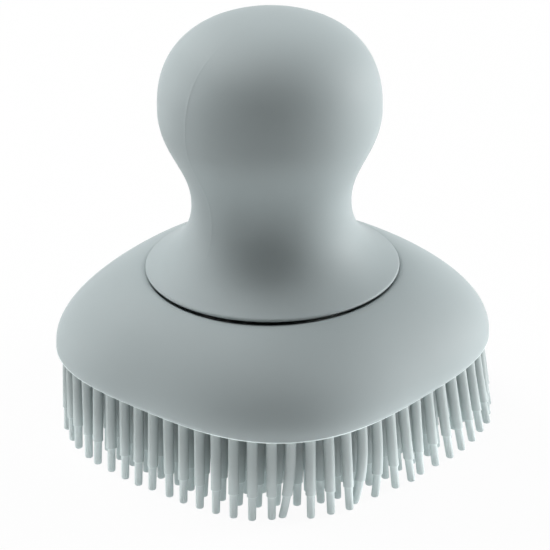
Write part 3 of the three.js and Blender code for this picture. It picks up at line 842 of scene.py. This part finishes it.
class BRUSH_OT_bristles(bpy.types.Operator):
    """Silicone pad with its rows of soft stepped bristles"""

    bl_idname = "brush.bristles"
    bl_label = "Bristles"

    def execute(self, context):
        scene = context.scene
        head = scene.brush_head
        sizes = scene.brush_bristles
        azimuth = scene.brush_stage.azimuth
        draw = random.Random(sizes.seed)
        right = Vector((math.cos(azimuth), math.sin(azimuth)))
        front = Vector((math.sin(azimuth), -math.cos(azimuth)))
        rows = bristle_rows(head, sizes)
        outer = [root for root in rows[0] if root.dot(front) > 0]
        bends = {}
        for across, run in BENT:
            nearest = min(outer, key=lambda root: abs(root.dot(right) - across * MM))
            bends[tuple(nearest)] = right * run * MM
        bm = bmesh.new()
        bm.verts.layers.float.new(PAINTED_LIGHT_LAYER)
        pad_sheet(bm, head)
        pad_studs(bm, head)
        reach = head.rim_height
        for number, row in enumerate(rows):
            for root in row:
                across, ahead = root.dot(right) / MM, root.dot(front) / MM
                outward = max(-1.0, min(1.0, ahead / OUTWARD_REACH))
                lean = right * math.radians(lean_at(SIDE_LEANS, across)) * reach
                lean += front * outward * math.radians(lean_at(OUTWARD_LEANS, across)) * reach
                lean += Vector((draw.gauss(0, 1), draw.gauss(0, 1))) * sizes.jitter * reach
                bend = bends.get(tuple(root), Vector((0, 0)))
                # Painted light on this bristle, paler towards its tip
                pale = bristle_painted_light(number, across, ahead, outward)
                sides = FINE_SIDES if number < FINE_ROWS else PLAIN_SIDES
                bristle(bm, sizes, root, reach, lean, bend, pale, sides)
        finish = soft_silicone("bristle_silicone", scene.brush_colours.silicone)
        pad = add_object(context, "bristle_pad", bm, finish)
        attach(pad, "head")
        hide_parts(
            "bristle_pad_front", "bristle_pad_right", "bristle_pad_back", "bristle_pad_left"
        )
        return {"FINISHED"}


# Pieces that show when the handle is unscrewed
ROUND_COUNT = 96
SMALL_COUNT = 32
SCREW_TURNS = [math.radians(45 + 90 * i) for i in range(4)]


def eased(line, reach):
    """A line of (radius, height) points with its inner corners rounded."""
    points = [Vector(point) for point in line]
    rounded = [points[0]]
    for before, corner, after in zip(points, points[1:], points[2:]):
        back, ahead = before - corner, after - corner
        first = corner + back.normalized() * min(reach, 0.4 * back.length)
        last = corner + ahead.normalized() * min(reach, 0.4 * ahead.length)
        for share in (0, 1 / 3, 2 / 3, 1):
            bend = 2 * share * (1 - share)
            rounded.append(first * (1 - share) ** 2 + corner * bend + last * share**2)
    return rounded + [points[-1]]


def turned(bm, line, centre=Vector((0, 0)), count=ROUND_COUNT, closed=False):
    """A round solid over a line from axis to axis, or over a closed line round a bore."""
    rings = [round_ring(radius, height, count, centre) for radius, height in line]
    skin(bm, rings, wrap_rings=closed)


def screw_places(circle, turn=0.0):
    """Centres of the four screws on a circle."""
    return [Vector((math.cos(t + turn), math.sin(t + turn))) * circle for t in SCREW_TURNS]


def helix(bm, sizes, foot, crest, widths, start, turns, first):
    """A ridge that climbs one lead a turn. It rises from its root radius and sinks back at its ends."""
    steps = round(ROUND_COUNT * turns)
    fade = 0.06 * turns
    rings = []
    for i in range(steps + 1):
        turn = turns * i / steps
        rise = min(1.0, turn / fade, (turns - turn) / fade)
        heading = first + turn * 2 * math.pi
        direction = Vector((math.cos(heading), math.sin(heading), 0))
        level = Vector((0, 0, start + turn * sizes.thread_lead))
        top = foot + (crest - foot) * (0.2 + 0.8 * rise)
        corners = ((foot, -widths[0]), (foot, widths[0]), (top, widths[1]), (top, -widths[1]))
        rings.append([direction * radius + level + Vector((0, 0, half / 2)) for radius, half in corners])
    capped(bm, rings)


def cut(context, piece, cutter_mesh):
    """Take a cutter's mesh out of a piece."""
    cutter = add_object(context, "cutter", cutter_mesh, piece.data.materials[0])
    boolean = piece.modifiers.new("cut", "BOOLEAN")
    boolean.object = cutter
    boolean.solver = "EXACT"
    result = bpy.data.meshes.new_from_object(piece.evaluated_get(context.evaluated_depsgraph_get()))
    piece.modifiers.clear()
    piece.data = result
    result.set_sharp_from_angle(angle=SHARP)
    bpy.data.objects.remove(cutter)


def handle_stem(context, sizes, turn, finish):
    """Plate that closes the handle, with its shoulder, threaded stem and sunk screw holes."""
    foot, top = STEM_LOW.z, STEM_HIGH.z
    plate = top - sizes.plate_thickness
    shoulder = plate - sizes.shoulder_height
    line = [(0.0, foot), (sizes.stem_radius, foot), (sizes.stem_radius, shoulder)]
    line += [(sizes.shoulder_radius, shoulder), (sizes.shoulder_radius, plate)]
    line += [(sizes.plate_radius, plate), (sizes.plate_radius, plate + sizes.plate_edge)]
    line += [(sizes.plate_radius - sizes.plate_thickness, top), (0.0, top)]
    bm = bmesh.new()
    turned(bm, eased(line, sizes.easing))
    stem = add_object(context, "threaded_stem", bm, finish)
    holes = bmesh.new()
    seat = plate + sizes.screw_head_height
    head, shank = sizes.screw_head + sizes.screw_room, sizes.screw_radius + sizes.screw_room
    low, high = plate - MM, top + MM
    hole = [(0.0, low), (head, low), (head, seat), (shank, seat), (shank, high), (0.0, high)]
    for place in screw_places(sizes.stem_circle, turn):
        turned(holes, hole, place, SMALL_COUNT)
    cut(context, stem, holes)
    bm = bmesh.new()
    bm.from_mesh(stem.data)
    root, crest = sizes.stem_radius - 0.5 * sizes.thread_depth, sizes.stem_radius + sizes.thread_depth
    widths = (sizes.thread_root, sizes.thread_crest)
    helix(bm, sizes, root, crest, widths, foot + sizes.thread_start, 1.0, turn)
    bm.to_mesh(stem.data)
    bm.free()
    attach(stem, "handle")
    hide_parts("stem_plate")


def head_socket(context, sizes, turn, finish):
    """Flanged socket in the recess, with the groove that the stem's thread runs in."""
    foot, top = SOCKET_LOW.z, SOCKET_HIGH.z
    flange = top - sizes.flange_thickness
    bore = sizes.stem_radius + sizes.thread_room
    line = [(bore, foot), (sizes.collar_radius, foot), (sizes.collar_radius, flange)]
    line += [(SOCKET_HIGH.x, flange), (SOCKET_HIGH.x, top), (bore, top)]
    bm = bmesh.new()
    turned(bm, eased([line[-1], *line, line[0]], sizes.easing)[1:-1], closed=True)
    socket = add_object(context, "threaded_socket", bm, finish)
    groove = bmesh.new()
    lead_in = 0.125
    start = STEM_LOW.z + sizes.thread_start
    turns = (top + sizes.thread_root - start) / sizes.thread_lead + lead_in
    widths = (sizes.thread_root + 2 * sizes.thread_room, sizes.thread_crest + 2 * sizes.thread_room)
    crest = bore + sizes.thread_depth
    begin = start - lead_in * sizes.thread_lead
    first = turn - lead_in * 2 * math.pi
    helix(groove, sizes, bore - sizes.thread_depth, crest, widths, begin, turns, first)
    cut(context, socket, groove)
    holes = bmesh.new()
    shank = sizes.screw_radius + sizes.screw_room
    hole = [(0.0, foot), (shank, foot), (shank, top + MM), (0.0, top + MM)]
    for place in screw_places(sizes.clamp_circle):
        turned(holes, hole, place, SMALL_COUNT)
    cut(context, socket, holes)
    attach(socket, "head")
    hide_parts("socket_insert")


def seal_hoop(context, sizes, finish):
    """Round seal with the fine parting ridge of its mould inside and outside."""
    level = (SEAL_LOW.z + SEAL_HIGH.z) / 2
    middle = SEAL_HIGH.x - sizes.seal_section
    line = []
    for i in range(SMALL_COUNT):
        turn = 2 * math.pi * i / SMALL_COUNT
        reach = sizes.seal_section * (0.96 + 0.04 * math.exp(-((math.sin(turn) / 0.15) ** 2)))
        line.append((middle + reach * math.cos(turn), level + reach * math.sin(turn)))
    bm = bmesh.new()
    turned(bm, line, closed=True)
    seal = add_object(context, "seal_hoop", bm, finish)
    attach(seal, "seal")
    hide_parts("seal_ring")


def cross_slot(bm, place, seat, facing, sizes):
    """Cutter for a cross drive, narrower at its bottom."""
    arm, half = 0.62 * sizes.screw_head, 0.15 * sizes.screw_head
    bottom, top = (0.45, 0.6), (1.2, 1.0)
    outline = []
    for quarter in range(4):
        turn = Matrix.Rotation(quarter * math.pi / 2, 2)
        outline += [turn @ Vector(corner) for corner in ((arm, -half), (arm, half), (half, half))]
    rings = []
    for level, share in (bottom, top):
        height = seat + facing * level * sizes.screw_head_height
        rings.append([(place.x + p.x * share, place.y + p.y * share, height) for p in outline])
    capped(bm, rings)


def pan_screws(context, sizes, name, places, seat, tip, facing, finish):
    """Four pan-head screws with cross drives. Facing is 1 where the heads are on top."""
    run = abs(seat - tip)
    head, high, shank = sizes.screw_head, sizes.screw_head_height, sizes.screw_radius
    line = [(0.0, -run), (shank, -run + shank), (shank, 0.0), (head, 0.0)]
    line += curve((head, 0.35 * high), (head, 0.8 * high), (0.8 * head, high), (0.5 * head, high), 8)
    line.append((0.0, high))
    bm, slots = bmesh.new(), bmesh.new()
    for place in places:
        turned(bm, [(radius, seat + facing * rise) for radius, rise in line], place, SMALL_COUNT)
        cross_slot(slots, place, seat, facing, sizes)
    screws = add_object(context, name, bm, finish)
    cut(context, screws, slots)
    return screws


class BRUSH_OT_stem(bpy.types.Operator):
    """Threaded stem of the handle and the seal below it"""

    bl_idname = "brush.stem"
    bl_label = "Stem and seal"

    def execute(self, context):
        scene = context.scene
        plastic = plain_plastic("stem_plastic", scene.brush_colours.inner)
        rubber = dark_rubber("seal_rubber", scene.brush_colours.seal)
        handle_stem(context, scene.brush_fixing, scene.brush_handle.rest_turn, plastic)
        seal_hoop(context, scene.brush_fixing, rubber)
        return {"FINISHED"}


class BRUSH_OT_socket(bpy.types.Operator):
    """Threaded socket of the head and the backing plate below it"""

    bl_idname = "brush.socket"
    bl_label = "Socket and backing plate"

    def execute(self, context):
        scene = context.scene
        plastic = plain_plastic("socket_plastic", scene.brush_colours.inner)
        head_socket(context, scene.brush_fixing, scene.brush_handle.rest_turn, plastic)
        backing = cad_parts["backing_plate"]
        backing.data.materials.clear()
        backing.data.materials.append(plastic)
        return {"FINISHED"}


class BRUSH_OT_screws(bpy.types.Operator):
    """Screws of the stem and of the socket"""

    bl_idname = "brush.screws"
    bl_label = "Screws"

    def execute(self, context):
        scene = context.scene
        sizes = scene.brush_fixing
        steel = bright_steel("screw_steel", scene.brush_colours.steel)
        high = sizes.screw_head_height
        places = screw_places(sizes.stem_circle, scene.brush_handle.rest_turn)
        seat, tip = STEM_SCREW_LOW.z + high, STEM_SCREW_HIGH.z
        stem = pan_screws(context, sizes, "stem_screws", places, seat, tip, -1, steel)
        places = screw_places(sizes.clamp_circle)
        seat, tip = CLAMP_SCREW_HIGH.z - high, CLAMP_SCREW_LOW.z
        clamp = pan_screws(context, sizes, "clamp_screws", places, seat, tip, 1, steel)
        for screws, kind, body in ((stem, "stem_screw", "handle"), (clamp, "clamp_screw", "head")):
            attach(screws, body)
            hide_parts(*[f"{kind}_{number}" for number in range(1, 5)])
        return {"FINISHED"}


# Floor, light and camera
LAMP_AIM = Vector((0, 0, 0.05))
LAMP_DISTANCE = 0.7

# Azimuth from the camera's and elevation in degrees, side in metres, power in watts
SOFTBOXES = (
    ("right_softbox", 105, 10, 0.35, 4.05),
    ("high_right_softbox", 105, 40, 0.35, 1.02),
    ("left_softbox", -105, 10, 0.35, 1.65),
    ("high_left_softbox", -105, 65, 0.35, 1.3),
    ("back_left_softbox", -135, 40, 0.35, 1.95),
    ("top_softbox", -30, 80, 0.2, 0.97),
)

# Azimuth from the camera's in degrees, distance, width and depth in metres, power in watts
TABLE_GLOWS = (
    ("table_glow_under", 0, 0.0, 0.14, 0.14, 0.027),
    ("table_glow_left", -45, 0.062, 0.13, 0.03, 0.009),
    ("table_glow_right", 45, 0.062, 0.13, 0.03, 0.015),
    ("table_glow_far_right", 90, 0.2, 0.5, 0.2, 0.28),
    ("table_glow_far_left", -90, 0.2, 0.5, 0.2, 0.12),
)


def area_lamp(context, name, width, height, power, place, facing):
    """A rectangular lamp that shines along a direction."""
    lamp = bpy.data.lights.new(name, "AREA")
    lamp.shape = "RECTANGLE"
    lamp.size = width
    lamp.size_y = height
    lamp.energy = power
    holder = bpy.data.objects.new(name, lamp)
    holder.location = place
    holder.rotation_euler = facing.to_track_quat("-Z", "Y").to_euler()
    context.scene.collection.objects.link(holder)
    return holder


def away_from_brush(azimuth, elevation):
    """Direction away from the brush, from its angles round and up."""
    level = math.cos(elevation)
    return Vector((math.sin(azimuth) * level, -math.cos(azimuth) * level, math.sin(elevation)))


def from_camera(context, azimuth, elevation):
    """Direction away from the brush in degrees, its azimuth counted from the camera's."""
    turn = context.scene.brush_stage.azimuth + math.radians(azimuth)
    return away_from_brush(turn, math.radians(elevation))


def softbox(context, name, azimuth, elevation, side, power):
    """A square lamp that looks at the brush from a direction."""
    away = from_camera(context, azimuth, elevation)
    area_lamp(context, name, side, side, power, LAMP_AIM + away * LAMP_DISTANCE, -away)


def table_glow(context, name, azimuth, away, width, depth, power):
    """Light that a bright table top throws up at the brush, from a patch on one side of it."""
    place = from_camera(context, azimuth, 0) * away + Vector((0, 0, -0.1 * MM))
    glow = area_lamp(context, name, width, depth, power, place, Vector((0, 0, 1)))
    glow.rotation_euler = Euler((math.pi, 0, context.scene.brush_stage.azimuth + math.radians(azimuth)))
    glow.visible_camera = False
    glow.visible_glossy = False


def white_to_camera(shader):
    """1 where the camera sees a surface directly, in a mirror or through glass."""
    path = "ShaderNodeLightPath"
    seen = shader.node(path, output="Is Camera Ray")
    mirrored = shader.node(path, output="Is Glossy Ray")
    through = shader.node(path, output="Is Transmission Ray")
    return seen.above(mirrored).above(through)


def pale_floor(context):
    """A wide pale floor that keeps a faint shadow of the brush."""
    bm = bmesh.new()
    bmesh.ops.create_grid(bm, x_segments=8, y_segments=8, size=3.0)
    finish, shader, place = material("pale_floor")
    cloud = shader.noise(place, 3.0, 2.0)
    paint = shader.node(
        "ShaderNodeBsdfPrincipled",
        inputs={
            "Base Color": shader.mix(cloud, (0.86, 0.87, 0.87, 1.0), (0.9, 0.9, 0.9, 1.0)),
            "Roughness": 0.9,
            "Specular IOR Level": 0.1,
        },
    )
    glow = shader.node("ShaderNodeEmission", inputs={"Color": WHITE, "Strength": 1.0})
    away = shader.node("ShaderNodeVectorMath", {"operation": "LENGTH"}, {0: place}, output="Value")
    white = 0.94 + 0.06 * (away * 2.5).below(1.0)
    seen = white_to_camera(shader)
    mixed = shader.node("ShaderNodeMixShader", inputs={0: seen * white, 1: paint, 2: glow})
    shader.node("ShaderNodeOutputMaterial", inputs={"Surface": mixed})
    floor = add_object(context, "pale_floor", bm, finish)
    floor.location.z = -0.2 * MM


def bright_world(context):
    """White where the camera looks, and a low even light everywhere else."""
    world = bpy.data.worlds.new("bright_world")
    context.scene.world = world
    shader = Shader(world)
    fill = shader.node("ShaderNodeBackground", inputs={"Color": WHITE, "Strength": 0.008})
    backdrop = shader.node("ShaderNodeBackground", inputs={"Color": WHITE, "Strength": 1.0})
    mixed = shader.node("ShaderNodeMixShader", inputs={0: white_to_camera(shader), 1: fill, 2: backdrop})
    shader.node("ShaderNodeOutputWorld", inputs={"Surface": mixed})


def photo_camera(context, aim):
    """The photograph's camera: aimed at the middle of the rim, then turned to its place in the picture."""
    view = context.scene.brush_stage
    away = away_from_brush(view.azimuth, view.elevation)
    lens = bpy.data.cameras.new("photo_camera")
    lens.sensor_width = 36.0
    lens.lens = view.lens
    lens.clip_start = 0.01
    camera = bpy.data.objects.new("photo_camera", lens)
    look = (-away).to_track_quat("-Z", "Y").to_matrix()
    roll = Matrix.Rotation(view.roll, 3, "Z")
    pitch = Matrix.Rotation(view.pitch, 3, "X")
    yaw = Matrix.Rotation(view.yaw, 3, "Y")
    camera.rotation_euler = (look @ roll @ pitch @ yaw).to_euler()
    camera.location = aim + away * view.distance
    context.scene.collection.objects.link(camera)
    context.scene.camera = camera


class BRUSH_OT_stage(bpy.types.Operator):
    """Pale floor, soft light and the photograph's camera"""

    bl_idname = "brush.stage"
    bl_label = "Stage"

    def execute(self, context):
        scene = context.scene
        scene.view_settings.view_transform = "Standard"
        rim_centre = Vector((0, 0, scene.brush_head.rim_height))
        pale_floor(context)
        bright_world(context)
        for lamp in SOFTBOXES:
            softbox(context, *lamp)
        for patch in TABLE_GLOWS:
            table_glow(context, *patch)
        photo_camera(context, rim_centre)
        return {"FINISHED"}


OPERATORS = (
    BRUSH_OT_handle,
    BRUSH_OT_dome,
    BRUSH_OT_bristles,
    BRUSH_OT_stem,
    BRUSH_OT_socket,
    BRUSH_OT_screws,
    BRUSH_OT_stage,
)


class BRUSH_PT_panel(bpy.types.Panel):
    """Buttons that build the brush, and its sizes"""

    bl_idname = "BRUSH_PT_panel"
    bl_label = "Pet Shampoo Brush"
    bl_space_type = "VIEW_3D"
    bl_region_type = "UI"
    bl_category = "Brush"

    def draw(self, context):
        for kind in OPERATORS:
            self.layout.operator(kind.bl_idname)
        for group in GROUPS:
            box = self.layout.box()
            settings = getattr(context.scene, group)
            for name in settings.__annotations__:
                box.prop(settings, name)


GROUPS = {
    "brush_handle": HandleSizes,
    "brush_head": HeadSizes,
    "brush_bristles": BristleSizes,
    "brush_fixing": FixingSizes,
    "brush_colours": BrushColours,
    "brush_stage": StageSettings,
}


def register():
    for group, kind in GROUPS.items():
        bpy.utils.register_class(kind)
        setattr(bpy.types.Scene, group, PointerProperty(type=kind))
    for kind in OPERATORS:
        bpy.utils.register_class(kind)
    bpy.utils.register_class(BRUSH_PT_panel)


def unregister():
    bpy.utils.unregister_class(BRUSH_PT_panel)
    for kind in reversed(OPERATORS):
        bpy.utils.unregister_class(kind)
    for group, kind in reversed(GROUPS.items()):
        delattr(bpy.types.Scene, group)
        bpy.utils.unregister_class(kind)


def main():
    register()
    bpy.ops.brush.handle()
    bpy.ops.brush.dome()
    bpy.ops.brush.bristles()
    bpy.ops.brush.stem()
    bpy.ops.brush.socket()
    bpy.ops.brush.screws()
    bpy.ops.brush.stage()


if __name__ == "__main__":
    main()
